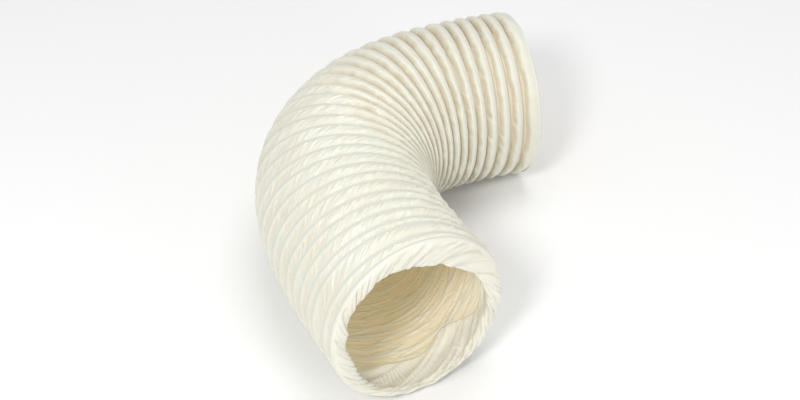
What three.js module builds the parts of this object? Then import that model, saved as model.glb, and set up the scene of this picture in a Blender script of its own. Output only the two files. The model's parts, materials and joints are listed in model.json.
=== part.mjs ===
// A flexible air duct: a PVC film strip wound round and round on itself, with a spring-steel
// wire caught in each lap, and a hem turned in over the last ring of wire at either mouth.
// It lies on a floor, bent to one side, as it is left when it is out of use.
// Millimetres. +Z is up, and the floor is the lowest point.
import * as THREE from "three";

// Driving dimensions
const BORE_RADIUS = 50; // inside the wire: the duct slides over a 100 mm spigot
const WIRE_DIAMETER = 1.3;
const FILM_THICKNESS = 0.4;
const CLEARANCE = 0.3;
const LENGTH = 292; // along the centreline, mouth to mouth
const TURNS = 30; // of the wire, without the flat ring at each mouth
const BEND_DEG = 102.4;
const BEND_PLACE = 0.57; // share of the length where the duct bends most
const BEND_SPREAD = 0.21; // share of the length, one standard deviation
const NEAR_HEADING_DEG = 118; // from the near mouth into the duct, counterclockwise from +X
const PITCH_SWELL = 0.25; // how much wider the turns stand halfway along than at the mouths
const LEAN = 4.5; // how far each turn leans toward the far end on the outside of the bend
const NEAR_LEAN_RAMP = 25; // along the centreline, from upright at the mouth to leaning
const FAR_LEAN_RAMP = 45;

// Bodies: the two turns nearest each mouth move together, and the others one by one
const TURNS_IN_END_SPAN = 2;

// Film section, measured from the wire: along the duct, and as a radius
const CREST_RADIUS = BORE_RADIUS + WIRE_DIAMETER + CLEARANCE + FILM_THICKNESS;
const CREST_HALF_WIDTH = 0.9;
const LIP_REACH = 1.35; // the outer edge, folded down behind the wire
const LIP_RADIUS = BORE_RADIUS + 0.1;
const KNEE_REACH = 2;
const KNEE_RADIUS = BORE_RADIUS - 0.4;
const FILM_SLOPE = 0.25; // lets each turn slide inside the next when the duct closes up
const LAP = 0.6; // how far a turn's edge passes under the next wire

// Mouths
const END_WALL = 0.5;
const END_RING_INSET = 1.6; // the flat ring of wire, behind the mouth's face
const FIRST_TURN_INSET = 5.6;
const FLAP_RADIUS = 46.2; // inside face of the turned-in hem
const FLAP_DEPTH = 12;

const STEPS_PER_TURN = 16; // the same all along, so that the facets of neighbours agree
const SPLIT_ANGLE = Math.PI; // each turn begins and ends on the inside of the bend

const FULL_TURN = 2 * Math.PI;
const WIRE_RADIUS = BORE_RADIUS + WIRE_DIAMETER / 2;
const HALF_SPLIT = CLEARANCE / 2 / (FULL_TURN * WIRE_RADIUS); // in turns

const filmMaterial = new THREE.MeshStandardMaterial({
  color: 0xe6dfc6,
  roughness: 0.42,
  metalness: 0,
});
const hemMaterial = new THREE.MeshStandardMaterial({
  color: 0xefeadb,
  roughness: 0.4,
  metalness: 0,
});
const wireMaterial = new THREE.MeshStandardMaterial({
  color: 0x9fa6a8,
  roughness: 0.35,
  metalness: 1,
});

// The running sums of a function over 0 to 1, as a function of the place.
function runningSum(valueAt, samples = 2000) {
  const sums = [0];
  for (let i = 0; i < samples; i++) {
    sums.push(sums[i] + valueAt((i + 0.5) / samples) / samples);
  }
  return (place) => {
    const x = THREE.MathUtils.clamp(place, 0, 1) * samples;
    const low = Math.min(Math.floor(x), samples - 1);
    return THREE.MathUtils.lerp(sums[low], sums[low + 1], x - low);
  };
}

const bell = (place, middle) => Math.exp(-(((place - middle) / BEND_SPREAD) ** 2) / 2);

// Centreline: the heading falls along the bell, and the route follows the heading
const bendSoFar = runningSum((u) => bell(u, BEND_PLACE));
const nearHeading = THREE.MathUtils.degToRad(NEAR_HEADING_DEG);
const bend = THREE.MathUtils.degToRad(BEND_DEG);
const headingAt = (station) => nearHeading - (bend * bendSoFar(station / LENGTH)) / bendSoFar(1);
const curvatureAt = (station) =>
  (bend * bell(station / LENGTH, BEND_PLACE)) / (bendSoFar(1) * LENGTH);
const eastSoFar = runningSum((u) => LENGTH * Math.cos(headingAt(u * LENGTH)));
const northSoFar = runningSum((u) => LENGTH * Math.sin(headingAt(u * LENGTH)));

// Turns: how far along the duct each one stands, upright and with its lean
const turnsSoFar = runningSum((u) => 1 + PITCH_SWELL * Math.sin(Math.PI * u));
const woundLength = LENGTH - 2 * FIRST_TURN_INSET;
const uprightStation = (turn) =>
  FIRST_TURN_INSET + (woundLength * turnsSoFar(turn / TURNS)) / turnsSoFar(1);
const angleOf = (turn) => SPLIT_ANGLE - FULL_TURN * turn;
const leanAt = (station) =>
  LEAN *
  THREE.MathUtils.smoothstep(station, 0, NEAR_LEAN_RAMP) *
  THREE.MathUtils.smoothstep(LENGTH - station, 0, FAR_LEAN_RAMP);
function stationOf(turn) {
  const upright = uprightStation(turn);
  return upright + leanAt(upright) * Math.cos(angleOf(turn));
}

// A place in the duct's own terms: station along it, angle round it from its left side, radius.
function place(station, angle, radius) {
  const heading = headingAt(station);
  const across = radius * Math.cos(angle);
  return new THREE.Vector3(
    eastSoFar(station / LENGTH) - across * Math.sin(heading),
    northSoFar(station / LENGTH) + across * Math.cos(heading),
    radius * Math.sin(angle),
  );
}

// Millimetres of wall for each millimetre of centreline: over 1 outside the bend, under 1 inside.
const spreadAt = (station, angle) => 1 + curvatureAt(station) * WIRE_RADIUS * Math.cos(angle);

// Sweeps a section round the duct from one turn to another. sectionAt gives the section's corners
// at a turn as [station, radius], counterclockwise with the station to the right.
function sweep(sectionAt, from, to, steps) {
  const rings = [];
  for (let i = 0; i <= steps; i++) {
    const turn = THREE.MathUtils.lerp(from, to, i / steps);
    rings.push(sectionAt(turn).map(([station, radius]) => place(station, angleOf(turn), radius)));
  }
  const corners = rings[0].length;
  const index = [];
  for (let i = 0; i < steps; i++) {
    for (let j = 0; j < corners; j++) {
      const a = i * corners + j;
      const b = i * corners + ((j + 1) % corners);
      index.push(a, b + corners, b, a, a + corners, b + corners);
    }
  }
  for (const [ring, turn, flip] of [[0, from, false], [steps, to, true]]) {
    const outline = sectionAt(turn).map(([station, radius]) => new THREE.Vector2(station, radius));
    for (const face of THREE.ShapeUtils.triangulateShape(outline, [])) {
      const [a, b, c] = face.map((corner) => ring * corners + corner);
      index.push(a, flip ? c : b, flip ? b : c);
    }
  }
  const geometry = new THREE.BufferGeometry();
  const positions = rings.flat().flatMap((point) => point.toArray());
  geometry.setAttribute("position", new THREE.Float32BufferAttribute(positions, 3));
  geometry.setIndex(index);
  geometry.computeVertexNormals();
  return geometry;
}

// Round wire, drawn with four corners, standing where stationAt puts it.
const wireSection = (stationAt) => (turn) => {
  const station = stationAt(turn);
  const half = WIRE_DIAMETER / 2;
  const along = half / spreadAt(station, angleOf(turn));
  return [
    [station - along, WIRE_RADIUS],
    [station, WIRE_RADIUS - half],
    [station + along, WIRE_RADIUS],
    [station, WIRE_RADIUS + half],
  ];
};

// The outside of the film falls from the crest to the knee, and then slopes inward to its edge.
const slopeRadius = (reach) => KNEE_RADIUS - FILM_SLOPE * (reach - KNEE_REACH);

// How far a turn's film reaches past its wire: under the next wire, or under the far end ring.
function reachOf(turn) {
  const station = stationOf(turn);
  const next = turn + 1 < TURNS ? stationOf(turn + 1) : LENGTH - END_RING_INSET;
  return (next - station) * spreadAt(station, angleOf(turn)) + LAP;
}

function filmSection(turn) {
  const station = stationOf(turn);
  const spread = spreadAt(station, angleOf(turn));
  const reach = reachOf(turn);
  const corners = [
    [-LIP_REACH, LIP_RADIUS],
    [FILM_THICKNESS - LIP_REACH, LIP_RADIUS],
    [FILM_THICKNESS - LIP_REACH, CREST_RADIUS - FILM_THICKNESS],
    [CREST_HALF_WIDTH - CLEARANCE, CREST_RADIUS - FILM_THICKNESS],
    [KNEE_REACH - CLEARANCE, KNEE_RADIUS - FILM_THICKNESS],
    [reach, slopeRadius(reach) - FILM_THICKNESS],
    [reach, slopeRadius(reach)],
    [KNEE_REACH, KNEE_RADIUS],
    [CREST_HALF_WIDTH, CREST_RADIUS],
    [-CREST_HALF_WIDTH, CREST_RADIUS],
  ];
  return corners.map(([along, radius]) => [station + along / spread, radius]);
}

// The near hem: face, turned-in flap, and a skirt that runs under the first turn of wire.
function nearHemSection(turn) {
  const spread = spreadAt(0, angleOf(turn));
  const reach = stationOf(turn) * spread + LAP - END_RING_INSET;
  const ring = END_RING_INSET;
  const corners = [
    [0, FLAP_RADIUS],
    [FLAP_DEPTH, FLAP_RADIUS],
    [FLAP_DEPTH, FLAP_RADIUS + FILM_THICKNESS],
    [END_WALL, FLAP_RADIUS + FILM_THICKNESS],
    [END_WALL, CREST_RADIUS - FILM_THICKNESS],
    [ring + CREST_HALF_WIDTH - CLEARANCE, CREST_RADIUS - FILM_THICKNESS],
    [ring + KNEE_REACH - CLEARANCE, KNEE_RADIUS - FILM_THICKNESS],
    [ring + reach, slopeRadius(reach) - FILM_THICKNESS],
    [ring + reach, slopeRadius(reach)],
    [ring + KNEE_REACH, KNEE_RADIUS],
    [ring + CREST_HALF_WIDTH, CREST_RADIUS],
    [0, CREST_RADIUS],
  ];
  return corners.map(([along, radius]) => [along / spread, radius]);
}

// The far hem: face, turned-in flap and a short lip over the end ring.
function farHemSection(turn) {
  const spread = spreadAt(LENGTH, angleOf(turn));
  const lip = END_RING_INSET + CREST_HALF_WIDTH;
  const corners = [
    [0, CREST_RADIUS],
    [lip, CREST_RADIUS],
    [lip, CREST_RADIUS - FILM_THICKNESS],
    [END_WALL, CREST_RADIUS - FILM_THICKNESS],
    [END_WALL, FLAP_RADIUS + FILM_THICKNESS],
    [FLAP_DEPTH, FLAP_RADIUS + FILM_THICKNESS],
    [FLAP_DEPTH, FLAP_RADIUS],
    [0, FLAP_RADIUS],
  ];
  return corners.map(([along, radius]) => [LENGTH - along / spread, radius]);
}

// Spans: [first turn, number of turns].
const spans = [[0, TURNS_IN_END_SPAN]];
for (let turn = TURNS_IN_END_SPAN; turn < TURNS - TURNS_IN_END_SPAN; turn++) {
  spans.push([turn, 1]);
}
spans.push([TURNS - TURNS_IN_END_SPAN, TURNS_IN_END_SPAN]);

const duct = new THREE.Group();
duct.name = "flexible_air_duct";

function addPiece(name, geometry, material) {
  const piece = new THREE.Mesh(geometry, material);
  piece.name = name;
  duct.add(piece);
}

const numbered = (name, i) => `${name}_${String(i + 1).padStart(2, "0")}`;

spans.forEach(([turn, turns], i) => {
  const from = turn + HALF_SPLIT;
  const to = turn + turns - HALF_SPLIT;
  const steps = STEPS_PER_TURN * turns;
  addPiece(numbered("wire_span", i), sweep(wireSection(stationOf), from, to, steps), wireMaterial);
  addPiece(numbered("film_span", i), sweep(filmSection, from, to, steps), filmMaterial);
});

const aroundMouth = [HALF_SPLIT, 1 - HALF_SPLIT, STEPS_PER_TURN];
const nearRing = wireSection(() => END_RING_INSET);
const farRing = wireSection(() => LENGTH - END_RING_INSET);
addPiece("near_end_ring", sweep(nearRing, ...aroundMouth), wireMaterial);
addPiece("far_end_ring", sweep(farRing, ...aroundMouth), wireMaterial);
addPiece("near_hem", sweep(nearHemSection, ...aroundMouth), hemMaterial);
addPiece("far_hem", sweep(farHemSection, ...aroundMouth), hemMaterial);

// The origin is on the floor, under the middle of the duct's box.
const box = new THREE.Box3().setFromObject(duct);
const middle = box.getCenter(new THREE.Vector3());
duct.position.set(-middle.x, -middle.y, -box.min.z);

// Joint places between the spans, and the mouths, in the finished frame.
const inFrame = (station, angle, radius) =>
  place(station, angle, radius).add(duct.position).toArray();
duct.userData.gaps = spans.slice(1).map(([turn, turns], i) => ({
  between: [i + 1, i + 2],
  turn,
  turns: (spans[i][1] + turns) / 2,
  heading: headingAt(uprightStation(turn)),
  bend:
    headingAt(uprightStation(turn - spans[i][1] / 2)) -
    headingAt(uprightStation(turn + turns / 2)),
  inner: inFrame(stationOf(turn), SPLIT_ANGLE, WIRE_RADIUS),
  top: inFrame(stationOf(turn + 0.25), Math.PI / 2, WIRE_RADIUS),
}));
duct.userData.mouths = [0, LENGTH].map((station) => ({
  centre: inFrame(station, 0, 0),
  heading: headingAt(station),
  face: inFrame(station, Math.PI / 2, (FLAP_RADIUS + CREST_RADIUS) / 2),
}));
duct.userData.route = [...Array(41).keys()].map((i) => ({
  point: inFrame((LENGTH * i) / 40, 0, 0),
  heading: headingAt((LENGTH * i) / 40),
}));

export default duct;
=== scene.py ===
"""A flexible air duct: cream PVC film wound over a spring-wire helix, bent to one side.

The film is one long pleated sheet. It is made in slabs, each of which bends between the two
CAD bodies on either side of it, so that the duct flexes without a break. Lengths are in
millimetres until a mesh is made in metres, and places along the wire are in turns.
"""

import json
import math

import bpy
import numpy as np
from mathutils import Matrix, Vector


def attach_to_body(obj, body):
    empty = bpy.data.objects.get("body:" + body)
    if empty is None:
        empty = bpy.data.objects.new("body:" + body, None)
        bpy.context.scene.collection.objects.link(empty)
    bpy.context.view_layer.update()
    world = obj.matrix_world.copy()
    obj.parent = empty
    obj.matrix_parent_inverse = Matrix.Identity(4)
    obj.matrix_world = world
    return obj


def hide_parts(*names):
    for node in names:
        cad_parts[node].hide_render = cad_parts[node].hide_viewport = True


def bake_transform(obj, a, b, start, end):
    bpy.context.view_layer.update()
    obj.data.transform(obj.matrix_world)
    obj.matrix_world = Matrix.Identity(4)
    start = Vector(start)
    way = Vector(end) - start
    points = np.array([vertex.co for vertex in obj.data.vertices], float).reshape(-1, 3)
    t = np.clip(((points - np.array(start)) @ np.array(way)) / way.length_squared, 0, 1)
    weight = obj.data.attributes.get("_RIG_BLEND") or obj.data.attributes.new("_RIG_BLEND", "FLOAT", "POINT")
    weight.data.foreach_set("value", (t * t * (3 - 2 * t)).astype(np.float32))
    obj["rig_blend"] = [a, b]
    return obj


MM = 0.001
FULL_TURN = 2 * math.pi

# The duct's route and turns, as in the CAD
LENGTH = 292.0
TURNS = 30
WIRE_RADIUS = 50.65
WIRE_DIAMETER = 1.3
BEND = math.radians(102.4)
BEND_PLACE = 0.57  # of the length
BEND_SPREAD = 0.21  # of the length
NEAR_HEADING = math.radians(118)
PITCH_SWELL = 0.25  # how much wider the pitch is halfway along
LEAN = 4.5  # how much further along a turn is outside the bend than at its top
NEAR_LEAN_RAMP = 25.0
FAR_LEAN_RAMP = 45.0
FIRST_TURN_INSET = 5.6
END_RING_INSET = 1.6
AXIS_HEIGHT = 52.0

# How unevenly the wire is wound, in turns
SLIP = 0.26
SLIP_PLACE = 1.35
SLIP_SPREAD = 0.5
SLIP_NOISE = 0.07
SLIP_RAMP = 1.5  # from each mouth
END_STEP = 0.22  # over which the wire steps out to the ring at its end

# Meshes
COLUMNS = 384
HEM_COLUMNS = 512
OUTER_ROWS = 28  # for each turn
INNER_ROWS = 14  # for each turn
WIRE_STEPS = 64  # for each turn
WIRE_SIDES = 8

# Film
CREST = 51.75  # radius of the film over the wire
UNDER_WIRE = 49.6
FILM = 0.4  # the least thickness of the pleated film

# Where the film is closed up, along the duct at its top. The inside of the bend closes up
# nearer the near mouth, and the outside further from it.
CLOSING_START = 112
CLOSING_LENGTH = 60
CLOSING_LEAD = 1.3  # for each degree towards the inside of the bend
CLOSING_OUTERMOST = 65  # degrees from the outside, within which the lead stays the same

# The film between two turns of wire: it falls into a fold behind one turn, and then rises in a
# roll to the next. Each pair is for film that is pulled out, and for film that is closed up.
FOLD_DEPTH = (1.2, 3.2)
FOLD_DEPTH_OUTSIDE = 4.4  # closed up, on the outside of the bend
FIRST_FOLD = 0.3  # share of the depth in the gap next to the near mouth
FOLD_PLACE = 0.16  # share of the gap, pulled out
FOLD_PLACE_CLOSED = (0.3, 0.42)  # the same closed up, outside the bend and inside it
FOLD_WAVES = (0.03, 0.1)  # share of the gap
FALL_START = 0.45  # from the turn behind
FALL_LENGTH = (1.1, 1.6)
RISE = (0.5, 0.46)  # share of the way from the fold to the next turn
ROLL_HEIGHT = (0.7, 0.9)
SAG = 2.6  # of a taut roll, times its height
JOIN_START = (1.1, -0.3)  # from the turn ahead, where the roll comes down to it
JOIN_LENGTH = (1.6, 0.8)
STRANDS = (0.95, 0.18)
FINE_CREASES = (0.12, 0.06)
SLACK = (0.35, 0.2)
UNEVENNESS = 0.05
WIRE_BAND = (1.6, 0.8)  # half the width of the greyer band over the wire
FULL_SHADE_DEPTH = 3.4  # the depth at which a fold has its full painted shade

# Where the film changes: widths of the gap, degrees from the outside of the bend, or places
# along the duct. Each pair is a start and a length.
TIGHT_GAP = 1.0  # the film lies flat
WIDE_GAP = 5.0  # the film folds and rolls freely
INNER_SIDE_DEPTH = (70, 60)
INNER_SIDE_PLACE = (80, 70)
TAUT_END = 80
TAUT_FADE = 50
LAST_FOLDS = (280, 6)
LAST_FOLDS_SHIFT = 0.4  # share of their place, towards the turn behind

# The film's inside, with pleats that run round the duct
PLEAT_HEIGHT = 0.75
FINE_PLEAT_HEIGHT = 0.45
INSIDE_RIDGE = 0.2  # over the wire
INSIDE_RIDGE_WIDTH = 1.6
INSIDE_SINK = 1.3  # where the film is closed up

SAMPLES = 2000  # of the route, to add it up
KNOTS = np.linspace(0, 1, SAMPLES + 1)


def smooth(x):
    """0 up to 0 and 1 from 1 on, with a soft rise between them."""
    x = np.clip(x, 0, 1)
    return x * x * (3 - 2 * x)


def mix(a, b, t):
    return a + (b - a) * t


def ramp(value, start, length):
    return smooth((value - start) / length)


def running_sum(value_at):
    """The sum of a value along the duct, as a function of the share of its length."""
    middles = (np.arange(SAMPLES) + 0.5) / SAMPLES
    sums = np.concatenate([[0], np.cumsum(value_at(middles)) / SAMPLES])
    return lambda u: np.interp(u, KNOTS, sums)


def bell(u):
    """How sharply the duct bends here."""
    return np.exp(-(((u - BEND_PLACE) / BEND_SPREAD) ** 2) / 2)


bend_so_far = running_sum(bell)


def heading_at(station):
    """The way the duct runs here, as an angle on the table."""
    return NEAR_HEADING - BEND * bend_so_far(station / LENGTH) / bend_so_far(1)


east_so_far = running_sum(lambda u: LENGTH * np.cos(heading_at(u * LENGTH)))
north_so_far = running_sum(lambda u: LENGTH * np.sin(heading_at(u * LENGTH)))
turns_so_far = running_sum(lambda u: 1 + PITCH_SWELL * np.sin(math.pi * u))
WOUND = LENGTH - 2 * FIRST_TURN_INSET
END_PITCH = WOUND / (TURNS * turns_so_far(1))
END_TURN = (FIRST_TURN_INSET - END_RING_INSET) / END_PITCH  # the end ring is this far out


def station_of(turn, angle):
    """Place along the duct of a turn at an angle round it, with the turns' lean."""
    inside = FIRST_TURN_INSET + WOUND * turns_so_far(turn / TURNS) / turns_so_far(1)
    past = np.minimum(turn, 0) + np.maximum(turn - TURNS, 0)
    upright = inside + past * END_PITCH
    lean = LEAN * smooth(upright / NEAR_LEAN_RAMP) * smooth((LENGTH - upright) / FAR_LEAN_RAMP)
    return upright + lean * np.cos(angle)


def spread_at(station, angle):
    """Millimetres of wall for each millimetre of centreline."""
    curvature = BEND * bell(station / LENGTH) / (bend_so_far(1) * LENGTH)
    return 1 + curvature * WIRE_RADIUS * np.cos(angle)


def raw_place(station, angle, radius):
    """A place in the wall in millimetres, with the near mouth over the origin."""
    inside = np.clip(station, 0, LENGTH)
    past = station - inside
    heading = heading_at(inside)
    across = radius * np.cos(angle)
    x = east_so_far(inside / LENGTH) + past * np.cos(heading) - across * np.sin(heading)
    y = north_so_far(inside / LENGTH) + past * np.sin(heading) + across * np.cos(heading)
    z = AXIS_HEIGHT + radius * np.sin(angle) + 0 * x
    return np.stack([x, y, z], -1)


# Camera
CAMERA_ELEVATION = 0.6327  # radians
CAMERA_DISTANCE = 913.8
LENS = 68.4
SHIFT = (0.0074, -0.0278)
ROUTE_POINTS = 400  # for the middle of the duct, which the camera and the lights look at

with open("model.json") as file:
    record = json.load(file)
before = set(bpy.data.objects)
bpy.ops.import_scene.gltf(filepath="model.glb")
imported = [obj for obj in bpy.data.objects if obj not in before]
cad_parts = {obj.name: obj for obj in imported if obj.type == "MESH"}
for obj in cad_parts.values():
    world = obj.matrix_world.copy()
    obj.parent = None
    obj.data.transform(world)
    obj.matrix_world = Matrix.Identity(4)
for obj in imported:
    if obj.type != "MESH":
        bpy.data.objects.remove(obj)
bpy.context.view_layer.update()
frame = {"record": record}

mounts = {m["name"]: m for m in frame["record"]["mounts"]}
near_mouth = np.array(mounts["near_spigot"]["pos_m"]) / MM
OFFSET = near_mouth - np.array([0, 0, AXIS_HEIGHT])


def place(station, angle, radius):
    """A place in the frame, in metres."""
    return (raw_place(station, angle, radius) + OFFSET) * MM


target = place(np.linspace(0, LENGTH, ROUTE_POINTS), 0.0, 0.0).mean(0)
camera_data = bpy.data.cameras.new("camera")
camera = bpy.data.objects.new("camera", camera_data)
bpy.context.scene.collection.objects.link(camera)
bpy.context.scene.camera = camera
camera_data.lens = LENS
camera_data.shift_x, camera_data.shift_y = SHIFT
away = np.array([0, -math.cos(CAMERA_ELEVATION), math.sin(CAMERA_ELEVATION)])
camera.location = Vector(target + CAMERA_DISTANCE * MM * away)
camera.rotation_euler = (math.pi / 2 - CAMERA_ELEVATION, 0, 0)


# Noise
NOISE_ROWS = 512
RIDGE_STEEPNESS = 2.2


def noise(x, y, cells, seed):
    """Smooth noise from -1 to 1. x repeats after a whole number of cells, and y doesn't."""
    table = np.random.default_rng(seed).uniform(-1, 1, (NOISE_ROWS, cells))
    x, y = np.broadcast_arrays(x, y)
    x0, y0 = np.floor(x).astype(int), np.floor(y).astype(int)
    fx, fy = smooth(x - x0), smooth(y - y0)
    xa, xb = x0 % cells, (x0 + 1) % cells
    ya, yb = y0 % NOISE_ROWS, (y0 + 1) % NOISE_ROWS
    low = mix(table[ya, xa], table[ya, xb], fx)
    high = mix(table[yb, xa], table[yb, xb], fx)
    return mix(low, high, fy)


def ridges(value):
    """Sharp ridges where the noise crosses zero: 1 on a ridge, 0 far from one."""
    return 1 - np.minimum(np.abs(value) * RIDGE_STEEPNESS, 1)


# Turns of wire: where each one crosses each column of the mesh
angles = FULL_TURN * np.arange(COLUMNS) / COLUMNS
phase = ((math.pi - angles) / FULL_TURN) % 1


def wire_turn(winding):
    """The turn at which the wire really lies, after this much winding: it isn't quite even."""
    slip = SLIP * np.exp(-(((winding - SLIP_PLACE) / SLIP_SPREAD) ** 2))
    far_from_mouths = smooth(winding / SLIP_RAMP) * smooth((TURNS - winding) / SLIP_RAMP)
    slip = slip + SLIP_NOISE * far_from_mouths * noise(0 * winding, winding * 1.3, 1, 11)
    out_near = END_TURN * (1 - smooth(winding / END_STEP))
    out_far = END_TURN * smooth((winding - TURNS + END_STEP) / END_STEP)
    return winding + slip - out_near + out_far


crossings = np.arange(TURNS)[:, None] + phase[None]
crests = np.concatenate(
    [
        np.full((1, COLUMNS), -END_TURN),
        wire_turn(crossings),
        np.full((1, COLUMNS), TURNS + END_TURN),
    ]
)
crest_stations = station_of(crests, angles[None])


def gap_of(turns):
    """For rows at these turns: the gap's number, share of the way across it, and its width."""
    rows = len(turns)
    gap = np.empty((rows, COLUMNS), int)
    for column in range(COLUMNS):
        gap[:, column] = np.searchsorted(crests[:, column], turns, side="right") - 1
    gap = np.clip(gap, 0, TURNS)
    columns = np.arange(COLUMNS)[None]
    near, far = crests[gap, columns], crests[gap + 1, columns]
    share = np.clip((turns[:, None] - near) / np.maximum(far - near, 1e-6), 0, 1)
    width = crest_stations[gap + 1, columns] - crest_stations[gap, columns]
    station = station_of(turns[:, None], angles[None])
    width = width * spread_at(station, angles[None])
    return gap, share, np.maximum(width, 0.05), station


def floor_radius(angle):
    """How far out the wall can be at an angle before it meets what the duct lies on."""
    return AXIS_HEIGHT / np.maximum(-np.sin(angle), 0.1)


FROM_OUTSIDE = np.degrees(np.arccos(np.cos(angles)))[None]  # 0 outside the bend, 180 inside
ROUNDNESS = (angles / FULL_TURN)[None]


def closing_at(station):
    """How far the duct is closed up: 0 where it is pulled out, 1 where the turns bunch."""
    lead = CLOSING_LEAD * (np.maximum(FROM_OUTSIDE, CLOSING_OUTERMOST) - 90)
    return ramp(station + lead, CLOSING_START, CLOSING_LENGTH)


def film_outside(turns):
    """Radius of the film's outside, how deep in a fold it is as the strength of its painted shade, and how
    near a wire, in rows.
    """
    gap, share, width, station = gap_of(turns)
    behind = share * width
    ahead = width - behind
    closing = closing_at(station)
    room = ramp(width, TIGHT_GAP, WIDE_GAP - TIGHT_GAP)

    def film_noise(cells, across, shear, seed):
        return noise(ROUNDNESS * cells - shear * station, turns[:, None] * across, cells, seed)

    # The fold
    inner_side = ramp(FROM_OUTSIDE, *INNER_SIDE_DEPTH)
    closed_depth = mix(FOLD_DEPTH_OUTSIDE, FOLD_DEPTH[1], inner_side)
    depth = mix(FOLD_DEPTH[0], closed_depth, closing) * room * np.where(gap == 0, FIRST_FOLD, 1)
    waves = film_noise(cells=46, across=1.0, shear=0.1, seed=21)
    waves = waves + 0.6 * film_noise(cells=90, across=2.0, shear=0.2, seed=22)
    closed_place = mix(*FOLD_PLACE_CLOSED, ramp(FROM_OUTSIDE, *INNER_SIDE_PLACE))
    closed_place = closed_place * (1 - LAST_FOLDS_SHIFT * ramp(station, *LAST_FOLDS))
    fold_place = mix(FOLD_PLACE, closed_place, closing) + mix(*FOLD_WAVES, closing) * waves
    fold_place = np.clip(fold_place * width, np.minimum(1.5, 0.4 * width), 0.6 * width)
    fall = ramp(behind, FALL_START, np.minimum(mix(*FALL_LENGTH, closing), 0.3 * width))
    across = np.clip((behind - fold_place) / np.maximum(width - fold_place, 0.1), 0, 1)
    rise = 1 - (1 - np.minimum(across / mix(*RISE, closing), 1)) ** 2

    # The roll, with creases like the strands of a rope. It sags where the film is taut.
    taut = (1 - closing) * smooth((TAUT_END - FROM_OUTSIDE) / TAUT_FADE)
    dome = 4 * across * (1 - across)
    roll = mix(*ROLL_HEIGHT, closing) * dome * room
    strands = ridges(film_noise(cells=50, across=1.0, shear=0.2, seed=31)) - 0.35
    more_strands = ridges(film_noise(cells=104, across=1.6, shear=0.5, seed=32))
    strands = strands + 0.7 * more_strands - 0.2
    fine = film_noise(cells=176, across=5.0, shear=1.1, seed=33)
    creases = mix(*STRANDS, closing) * strands + mix(*FINE_CREASES, closing) * fine
    slack = mix(*SLACK, closing) * film_noise(cells=16, across=0.8, shear=0.08, seed=34)
    creases = creases * (1 - 0.35 * taut) + slack * (1 - 0.6 * taut)
    join = ramp(ahead, mix(*JOIN_START, closing), mix(*JOIN_LENGTH, closing))
    lift = (roll * (1 - SAG * taut) + creases * room * rise) * join

    radius = CREST - depth * (fall - rise) + lift
    uneven = film_noise(cells=120, across=3.0, shear=0.3, seed=35)
    radius = radius + UNEVENNESS * closing * uneven
    radius = np.minimum(radius, floor_radius(angles)[None])
    wire = np.exp(-((np.minimum(behind, ahead) / mix(*WIRE_BAND, closing)) ** 4))
    # Painted shade: the film is tinted tan and darker by how deep in a fold it is, and where a roll dips
    fold = np.clip(depth * (fall - rise) / FULL_SHADE_DEPTH + 0.35 * np.maximum(-lift, 0), 0, 1)
    return radius, fold * mix(0.5, 1, closing), wire * mix(1, 0.6, closing), station


def film_inside(turns):
    """Radius of the film's inside, and how deep in a pleat it is as painted shade between the pleats'
    ridges, in rows.
    """
    share, width, station = gap_of(turns)[1:]
    drift = 1.4 * noise(ROUNDNESS * 9, station / 30, 9, 41)
    pleats = ridges(noise(ROUNDNESS * 11 + 0.05 * station, station / 2.6 + drift, 11, 42))
    more = ridges(noise(ROUNDNESS * 17 - 0.09 * station, station / 1.7 + drift, 17, 43))
    over_wire = np.exp(-((np.minimum(share, 1 - share) * width / INSIDE_RIDGE_WIDTH) ** 2))
    inward = PLEAT_HEIGHT * pleats**3 + FINE_PLEAT_HEIGHT * more**3 + INSIDE_RIDGE * over_wire
    sunk = INSIDE_SINK * closing_at(station)
    radius = np.minimum(UNDER_WIRE - sunk - inward, film_outside(turns)[0] - FILM)
    # Painted shade between the pleats; their ridges keep the pale crest colour as a painted highlight
    fold = np.clip(1 - 0.9 * pleats**2 - 0.5 * more**2, 0, 1)
    return radius, fold, station


def normals_of(points):
    """Unit normals of a grid of points that closes round its columns."""
    round_it = np.roll(points, -1, 1) - np.roll(points, 1, 1)
    along_it = np.gradient(points, axis=0)
    n = np.cross(round_it, along_it)
    return n / np.maximum(np.linalg.norm(n, axis=-1, keepdims=True), 1e-12)


def grid_faces(rows, start=0, columns=COLUMNS, flip=False, closed=False):
    """Quads between rows of vertices, the first row starting at vertex start."""
    bands = rows if closed else rows - 1
    row, column = np.meshgrid(np.arange(bands), np.arange(columns), indexing="ij")
    following = (column + 1) % columns
    low, high = row * columns, (row + 1) % rows * columns
    corners = [low + column, low + following, high + following, high + column]
    quads = np.stack(corners, -1).reshape(-1, 4)
    return start + (quads[:, ::-1] if flip else quads)


def make_mesh(name, points, faces, attributes=None, normals=None):
    mesh = bpy.data.meshes.new(name)
    mesh.from_pydata(points.reshape(-1, 3).tolist(), [], faces)
    for key, values in (attributes or {}).items():
        layer = mesh.attributes.new(key, "FLOAT", "POINT")
        layer.data.foreach_set("value", np.ascontiguousarray(values, np.float32).ravel())
    mesh.polygons.foreach_set("use_smooth", np.ones(len(mesh.polygons), bool))
    if normals is not None:
        mesh.normals_split_custom_set_from_vertices(normals.reshape(-1, 3).tolist())
    piece = bpy.data.objects.new(name, mesh)
    bpy.context.scene.collection.objects.link(piece)
    return piece


# Materials
def new_material(name):
    material = bpy.data.materials.new(name)
    material.use_nodes = True
    tree = material.node_tree
    shader = tree.nodes["Principled BSDF"]
    return material, tree, shader


def add_node(tree, kind, **settings):
    node = tree.nodes.new(kind)
    for key, value in settings.items():
        setattr(node, key, value)
    return node


def colour_mix(tree, factor, a, b):
    node = add_node(tree, "ShaderNodeMix", data_type="RGBA")
    tree.links.new(factor, node.inputs[0])
    for socket, value in ((node.inputs[6], a), (node.inputs[7], b)):
        if isinstance(value, tuple):
            socket.default_value = (*value, 1)
        else:
            tree.links.new(value, socket)
    return node.outputs[2]


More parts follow.
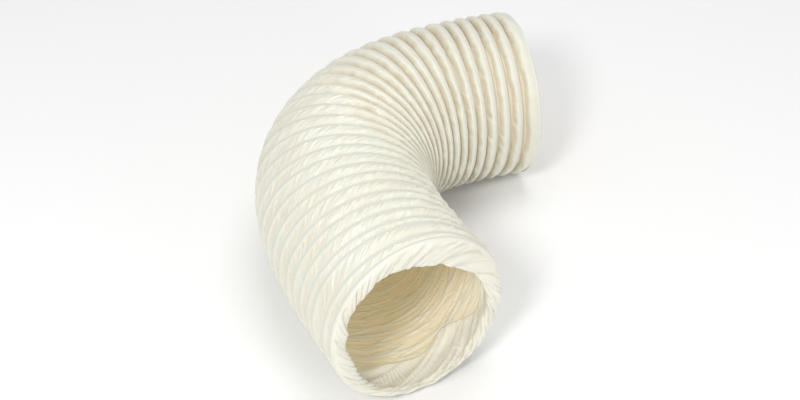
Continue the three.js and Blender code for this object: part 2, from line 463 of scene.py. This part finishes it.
def float_range(tree, value, given, wanted):
    """Takes the given range of a value to the wanted one."""
    node = add_node(tree, "ShaderNodeMapRange", clamp=True)
    tree.links.new(value, node.inputs["Value"])
    for end, low_and_high in (("From", given), ("To", wanted)):
        node.inputs[f"{end} Min"].default_value = low_and_high[0]
        node.inputs[f"{end} Max"].default_value = low_and_high[1]
    return node.outputs["Result"]


def noise_node(tree, scale, detail):
    coordinates = add_node(tree, "ShaderNodeTexCoord")
    texture = add_node(tree, "ShaderNodeTexNoise")
    texture.inputs["Scale"].default_value = scale
    texture.inputs["Detail"].default_value = detail
    tree.links.new(coordinates.outputs["Object"], texture.inputs["Vector"])
    return texture.outputs["Fac"]


def attribute_node(tree, name):
    return add_node(tree, "ShaderNodeAttribute", attribute_name=name).outputs["Fac"]


def film_material(name, crest, fold, inside, wire, painted_glow, painted_glow_colour):
    """Semi-gloss PVC film: paler on the rolls, with painted shade in the folds and between the inside
    pleats, greyer over the wire, and a painted glow inside.
    """
    material, tree, shader = new_material(name)
    fold_shade_value = attribute_node(tree, "fold")
    wire_value = attribute_node(tree, "wire")
    inside_value = attribute_node(tree, "inside")
    clouds = noise_node(tree, scale=45, detail=4)
    grains = noise_node(tree, scale=900, detail=3)

    tint = colour_mix(tree, float_range(tree, clouds, (0.35, 0.7), (0, 0.35)), crest, fold)
    # Painted shade: the fold attribute tints the folds tan and darker
    tint = colour_mix(tree, float_range(tree, fold_shade_value, (0.08, 0.85), (0, 1)), tint, fold)
    tint = colour_mix(tree, float_range(tree, wire_value, (0.15, 1), (0, 0.9)), tint, wire)
    # Painted shade between the inside pleats, with a painted highlight on their ridges
    pleats = colour_mix(tree, float_range(tree, fold_shade_value, (0.2, 1), (0, 1)), crest, inside)
    tint = colour_mix(tree, inside_value, tint, pleats)
    tree.links.new(tint, shader.inputs["Base Color"])
    rough = float_range(tree, clouds, (0.3, 0.7), (0.3, 0.45))
    tree.links.new(rough, shader.inputs["Roughness"])
    shader.inputs["Specular IOR Level"].default_value = 0.45

    # Painted light: the inside of the film glows, standing in for daylight that comes through the thin film
    # and warms the inside of the duct
    shader.inputs["Emission Color"].default_value = (*painted_glow_colour, 1)
    strength = float_range(tree, inside_value, (0, 1), (0, painted_glow))
    tree.links.new(strength, shader.inputs["Emission Strength"])

    bump = add_node(tree, "ShaderNodeBump")
    bump.inputs["Strength"].default_value = 0.25
    bump.inputs["Distance"].default_value = 0.0003
    tree.links.new(grains, bump.inputs["Height"])
    tree.links.new(bump.outputs["Normal"], shader.inputs["Normal"])
    return material


film_look = film_material(
    "pvc_film",
    crest=(0.78, 0.775, 0.675),
    # painted shade colour of the folds
    fold=(0.71, 0.635, 0.49),
    inside=(0.91, 0.84, 0.66),
    wire=(0.67, 0.695, 0.62),
    painted_glow=0.065,
    painted_glow_colour=(1.0, 0.74, 0.36),
)
hem_look = film_material(
    "pvc_film_hem",
    crest=(0.79, 0.78, 0.68),
    # painted shade colour of the hem's creases
    fold=(0.76, 0.71, 0.58),
    inside=(0.84, 0.81, 0.70),
    wire=(0.74, 0.755, 0.69),
    painted_glow=0.12,
    painted_glow_colour=(1.0, 0.93, 0.78),
)

DARK_STEEL = (0.52, 0.54, 0.55)
LIGHT_STEEL = (0.66, 0.68, 0.69)
wire_look, wire_tree, wire_shader = new_material("drawn_spring_steel")
wire_shader.inputs["Metallic"].default_value = 1.0
drawn = noise_node(wire_tree, scale=400, detail=3)
shine = float_range(wire_tree, drawn, (0.3, 0.7), (0, 1))
steel = colour_mix(wire_tree, shine, DARK_STEEL, LIGHT_STEEL)
wire_tree.links.new(steel, wire_shader.inputs["Base Color"])
roughness = float_range(wire_tree, drawn, (0.3, 0.7), (0.28, 0.45))
wire_tree.links.new(roughness, wire_shader.inputs["Roughness"])


# Slabs: each runs from the middle of one span to the middle of the next
SPANS = 28
middles = [1.0] + [i + 0.5 for i in range(2, TURNS - 2)] + [TURNS - 1.0]
slab_ends = [-END_TURN] + middles + [TURNS + END_TURN]


def body_name(i):
    return f"span_{i:02d}"


def attach(piece, slab, turn_at_vertex):
    """Slab 0 and the last ride on the end spans, and the others bend between two spans."""
    if slab in (0, SPANS):
        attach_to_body(piece, body_name(1 if slab == 0 else SPANS))
        return
    low, high = slab_ends[slab], slab_ends[slab + 1]
    start = place(station_of(low, math.pi / 2), 0.0, 0.0)
    end = place(station_of(high, math.pi / 2), 0.0, 0.0)
    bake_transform(piece, body_name(slab), body_name(slab + 1), start=start, end=end)
    share = np.clip((turn_at_vertex - low) / (high - low), 0, 1)
    attribute = piece.data.attributes["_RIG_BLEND"]
    attribute.data.foreach_set("value", share.astype(np.float32).ravel())


def slab_rows(per_turn):
    """The turn of every row from mouth to mouth, and each slab's first and last row."""
    rows, marks = [slab_ends[0]], [0]
    for low, high in zip(slab_ends[:-1], slab_ends[1:]):
        steps = max(2, round(per_turn * (high - low)))
        rows.extend(low + (high - low) * np.arange(1, steps + 1) / steps)
        marks.append(len(rows) - 1)
    return np.array(rows), marks


outer_turns, outer_marks = slab_rows(OUTER_ROWS)
inner_turns, inner_marks = slab_rows(INNER_ROWS)
outer_radius, outer_fold_shade, outer_wire, outer_station = film_outside(outer_turns)
inner_radius, inner_pleat_shade, inner_station = film_inside(inner_turns)
outer_points = place(outer_station, angles[None], outer_radius)
inner_points = place(inner_station, angles[None], inner_radius)
outer_normals = normals_of(outer_points)
inner_normals = -normals_of(inner_points)


def film_slab(slab):
    outer_rows = slice(outer_marks[slab], outer_marks[slab + 1] + 1)
    inner_rows = slice(inner_marks[slab], inner_marks[slab + 1] + 1)
    outer, inner = outer_points[outer_rows], inner_points[inner_rows]
    start = len(outer) * COLUMNS  # of the inner vertices
    last_outer, last_inner = start - COLUMNS, start + (len(inner) - 1) * COLUMNS
    column = np.arange(COLUMNS)
    following = (column + 1) % COLUMNS
    near_cap = [start + column, start + following, following, column]
    far_cap = [
        last_outer + column,
        last_outer + following,
        last_inner + following,
        last_inner + column,
    ]
    faces = np.concatenate(
        [
            grid_faces(len(outer)),
            grid_faces(len(inner), start, flip=True),
            np.stack(near_cap, -1),
            np.stack(far_cap, -1),
        ]
    )
    outside, inside = np.zeros(outer.shape[:2]), np.ones(inner.shape[:2])
    attributes = {
        # painted shade of the folds and of the inside pleats
        "fold": np.concatenate([outer_fold_shade[outer_rows], inner_pleat_shade[inner_rows]]),
        "wire": np.concatenate([outer_wire[outer_rows], 0 * inside]),
        "inside": np.concatenate([outside, inside]),
    }
    piece = make_mesh(
        f"film_{slab:02d}",
        np.concatenate([outer, inner]),
        faces.tolist(),
        attributes,
        np.concatenate([outer_normals[outer_rows], inner_normals[inner_rows]]),
    )
    piece.data.materials.append(film_look)
    turns = np.concatenate([outer_turns[outer_rows], inner_turns[inner_rows]])
    attach(piece, slab, np.repeat(turns, COLUMNS))
    if slab < SPANS:
        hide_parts(f"film_span_{slab + 1:02d}")


def tube(name, station, angle, closed):
    """A round wire in the wall of the duct, along a line of stations and angles."""
    centres = place(station, angle, np.full(len(angle), WIRE_RADIUS))
    outward = centres - place(station, angle, np.zeros(len(angle)))
    ahead = np.roll(centres, -1, 0) - np.roll(centres, 1, 0)
    if not closed:
        ahead[0], ahead[-1] = centres[1] - centres[0], centres[-1] - centres[-2]
    ahead /= np.linalg.norm(ahead, axis=1, keepdims=True)
    first = outward - ahead * np.sum(outward * ahead, axis=1, keepdims=True)
    first /= np.linalg.norm(first, axis=1, keepdims=True)
    second = np.cross(ahead, first)
    turn = FULL_TURN * np.arange(WIRE_SIDES) / WIRE_SIDES
    half = WIRE_DIAMETER / 2 * MM
    points = (
        centres[:, None]
        + half * np.cos(turn)[None, :, None] * first[:, None]
        + half * np.sin(turn)[None, :, None] * second[:, None]
    )
    faces = grid_faces(len(centres), columns=WIRE_SIDES, closed=closed).tolist()
    if not closed:
        last = (len(centres) - 1) * WIRE_SIDES
        faces.append(list(range(last, last + WIRE_SIDES)))
        faces.append(list(reversed(range(WIRE_SIDES))))
    piece = make_mesh(name, points, faces)
    piece.data.materials.append(wire_look)
    return piece


def wire_slab(slab):
    low = max(slab_ends[slab], 0.0)
    high = min(slab_ends[slab + 1], float(TURNS))
    steps = max(4, round(WIRE_STEPS * (high - low)))
    winding = np.linspace(low, high, steps + 1)
    turn = wire_turn(winding)
    angle = math.pi - FULL_TURN * winding
    piece = tube(f"wire_{slab:02d}", station_of(turn, angle), angle, closed=False)
    attach(piece, slab, np.repeat(turn, WIRE_SIDES))
    if slab < SPANS:
        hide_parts(f"wire_span_{slab + 1:02d}")


for number in range(SPANS + 1):
    film_slab(number)
    wire_slab(number)

for end, station, body in (
    ("near", END_RING_INSET, 1),
    ("far", LENGTH - END_RING_INSET, SPANS),
):
    round_it = FULL_TURN * np.arange(WIRE_STEPS) / WIRE_STEPS
    level = np.full(WIRE_STEPS, station)
    ring = tube(f"{end}_ring", level, round_it, closed=True)
    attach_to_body(ring, body_name(body))
    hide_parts(f"{end}_end_ring")


# Hems: the film is gathered over the end ring to a flat face, turned in at a lip, and ends in
# a flap inside. Depths are from the plane of the mouth.
HEM_ROWS = 88
FACE_RADIUS = 48.4
FLAP_RADIUS = 47.3
NEAR_LIP = 44.0
FAR_LIP = 45.4
NEAR_FLAP_DEPTH = 19
FAR_FLAP_DEPTH = 14
NEAR_LIP_DRAWN_BACK = 2.8  # at the bottom
NEAR_LIP_BUMPS = ((10.2, 119, 45), (2.6, -15, 32))  # height, angle in degrees, width
NEAR_FLAP_BUMP = (7, 170, 35)
RING_ALONG_HEM = 1.5
FLAP_START = (18, 8)  # along the hem: start and length
GATHER_START = (3.0, 2.6)  # along the hem: start and length
GATHER_SWIRL = (0.24, 0.38)  # at the top of the mouth, and at its bottom
GATHER_HEIGHT = 1.15
HEM_FOLD_HEIGHT = 0.9
CALM_EDGE = 3.0  # length of the flap's edge, along which the gathers fade
FAR_STRENGTH = 0.45  # of the far hem's gathers, next to the near hem's


def along_curve(points, count):
    """Points spaced along a Catmull-Rom curve through the points, each an array of columns."""
    points = np.array(points)
    padded = np.concatenate([2 * points[:1] - points[1:2], points, 2 * points[-1:] - points[-2:-1]])
    places = np.linspace(0, len(points) - 1, count)
    i = np.minimum(places.astype(int), len(points) - 2)
    t = (places - i)[:, None, None]
    a, b, c, d = padded[i], padded[i + 1], padded[i + 2], padded[i + 3]
    return 0.5 * (
        2 * b + (c - a) * t + (2 * a - 5 * b + 4 * c - d) * t**2 + (3 * b - a - 3 * c + d) * t**3
    )


def near_edge(angle, wobble, seed):
    """Radius of the near lip, how far it sinks in, and the depth of the flap, by angle."""
    up = np.sin(angle)

    def bump(middle, width):
        apart = np.degrees(np.arccos(np.cos(angle - math.radians(middle))))
        return np.exp(-((apart / width) ** 2))

    # The lip hangs into the mouth at the top, and bulges in at the outer side
    lip = NEAR_LIP + NEAR_LIP_DRAWN_BACK * np.maximum(-up, 0)
    for height, middle, width in NEAR_LIP_BUMPS:
        lip = lip - height * bump(middle, width)
    lip = lip + 0.7 * wobble
    uneven = noise(angle / FULL_TURN * 14, 3.3, 14, seed)
    height, middle, width = NEAR_FLAP_BUMP
    flap_depth = NEAR_FLAP_DEPTH + 5 * uneven + 2.5 * wobble - height * bump(middle, width)
    return lip, 0.6 * np.maximum(up, 0), flap_depth


def far_edge(angle, wobble, seed):
    """The same for the far hem, which is neater."""
    uneven = noise(angle / FULL_TURN * 12, 3.3, 12, seed)
    return FAR_LIP + 0.4 * wobble, 0.8, FAR_FLAP_DEPTH + 3 * uneven


def hem_curve(lip, sunk, flap_depth):
    """The hem from over the ring to the flap's edge, as depth and radius, for each column."""
    face_to_lip = mix(FACE_RADIUS, lip, 0.45)
    lip_to_flap = mix(lip + 0.7, FLAP_RADIUS, 0.65)
    path = [
        (2.9, 50.8),
        (2.2, 51.55),
        (1.6, CREST + 0.05),
        (0.8, CREST - 0.05),
        (0.0, 51.2),
        (-0.7, 50.1),
        (-1.1, FACE_RADIUS),
        (-1.0 + 0.3 * sunk, face_to_lip),
        (-0.1 + 0.7 * sunk, lip + 0.8),
        (1.6 + sunk, lip),
        (4.0 + sunk, lip + 0.7),
        (mix(4.0 + sunk, flap_depth, 0.5), lip_to_flap),
        (flap_depth, FLAP_RADIUS),
    ]
    columns = [[np.broadcast_to(value, HEM_COLUMNS) for value in point] for point in path]
    return along_curve([np.stack(point, -1) for point in columns], HEM_ROWS)


def hem(end):
    """The film turned in over the end ring: a gathered face, a lip and a flap inside."""
    near = end == "near"
    seed = 60 if near else 80
    angle = FULL_TURN * np.arange(HEM_COLUMNS) / HEM_COLUMNS
    share = angle / FULL_TURN
    wobble = noise(share * 9, 0.0, 9, seed) + 0.6 * noise(share * 23, 5.0, 23, seed + 5)
    edge = (near_edge if near else far_edge)(angle, wobble, seed + 1)
    curve = hem_curve(*edge)
    step = np.linalg.norm(np.diff(curve, axis=0), axis=-1)
    length = np.concatenate([np.zeros((1, HEM_COLUMNS)), np.cumsum(step, 0)])
    tangent = np.gradient(curve, axis=0)
    tangent /= np.maximum(np.linalg.norm(tangent, axis=-1, keepdims=True), 1e-9)
    outward = np.stack([tangent[..., 1], -tangent[..., 0]], -1)  # to the right of the path

    # The gathers run in a spiral, and turn further along the bottom of the mouth
    strength = ramp(length, *GATHER_START) * (1 if near else FAR_STRENGTH)
    swirl = mix(*GATHER_SWIRL, smooth(-np.sin(angle)))[None]
    gathers = ridges(noise(share * 60 + 1.15 * swirl * length, length / 18, 60, seed + 2))
    more = ridges(noise(share * 110 + 2.1 * swirl * length, length / 10, 110, seed + 3))
    inside = ramp(length, *FLAP_START)
    gathers = gathers + mix(0.6, 0.2, inside) * more
    folds = noise(share * 22 + 0.42 * swirl * length, length / 26, 22, seed + 4)
    push = strength * (GATHER_HEIGHT * (0.55 - gathers) + HEM_FOLD_HEIGHT * folds)
    calmer_at_edge = mix(0.35, 1.0, smooth((length[-1:] - length) / CALM_EDGE))
    top = curve + outward * (push * calmer_at_edge)[..., None]
    top[..., 1] = np.minimum(top[..., 1], floor_radius(angle)[None])
    bottom = top - outward * FILM

    loop = np.concatenate([top, bottom[::-1]])
    station = loop[..., 0] if near else LENGTH - loop[..., 0]
    points = place(station, angle[None], loop[..., 1])
    faces = grid_faces(len(points), columns=HEM_COLUMNS, flip=near, closed=True).tolist()
    # Painted shade in the creases of the gathers, stored as the fold attribute
    crease_shade = np.clip(gathers * 0.6 - 0.35 - 0.25 * folds, 0, 1) * strength
    over_ring = np.exp(-((length - RING_ALONG_HEM) ** 2))
    hidden = np.zeros_like(crease_shade)
    attributes = {
        "fold": np.concatenate([crease_shade, hidden]),
        "wire": np.concatenate([over_ring, hidden]),
        "inside": np.concatenate([inside, inside[::-1]]),
    }
    piece = make_mesh(f"{end}_hem_film", points, faces, attributes)
    piece.data.materials.append(hem_look)
    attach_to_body(piece, body_name(1 if near else SPANS))
    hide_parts(f"{end}_hem")


hem("near")
hem("far")


# Floor, light and tone
FLOOR_HALF = 6.0
FLOOR_DROP = 0.0005
ROOM_LIGHT = 0.55
floor_look, floor_tree, floor_shader = new_material("floor")
floor_shader.inputs["Base Color"].default_value = (0.95, 0.95, 0.95, 1)
floor_shader.inputs["Roughness"].default_value = 0.9
floor_mesh = bpy.data.meshes.new("floor")
floor_signs = ((-1, -1), (1, -1), (1, 1), (-1, 1))
floor_corners = [(FLOOR_HALF * x, FLOOR_HALF * y, 0) for x, y in floor_signs]
floor_mesh.from_pydata(floor_corners, [], [(0, 1, 2, 3)])
floor = bpy.data.objects.new("floor", floor_mesh)
bpy.context.scene.collection.objects.link(floor)
floor.data.materials.append(floor_look)
floor.location.z = -FLOOR_DROP


def area_light(name, place_m, size, power):
    data = bpy.data.lights.new(name, "AREA")
    data.shape = "DISK"
    data.size = size
    data.energy = power
    light = bpy.data.objects.new(name, data)
    light.location = place_m
    light.rotation_euler = (Vector(target) - Vector(place_m)).to_track_quat("-Z", "Y").to_euler()
    bpy.context.scene.collection.objects.link(light)


area_light("key", (-0.38, -1.0, 0.95), size=0.3, power=7.5)
area_light("fill", (0.75, -0.9, 0.4), size=0.5, power=1.6)
area_light("top", (0.15, 0.1, 1.4), size=0.9, power=5.5)

world = bpy.data.worlds.new("studio")
world.use_nodes = True
background = world.node_tree.nodes["Background"]
background.inputs["Color"].default_value = (1, 1, 1, 1)
background.inputs["Strength"].default_value = ROOM_LIGHT
bpy.context.scene.world = world
bpy.context.scene.view_settings.view_transform = "Standard"
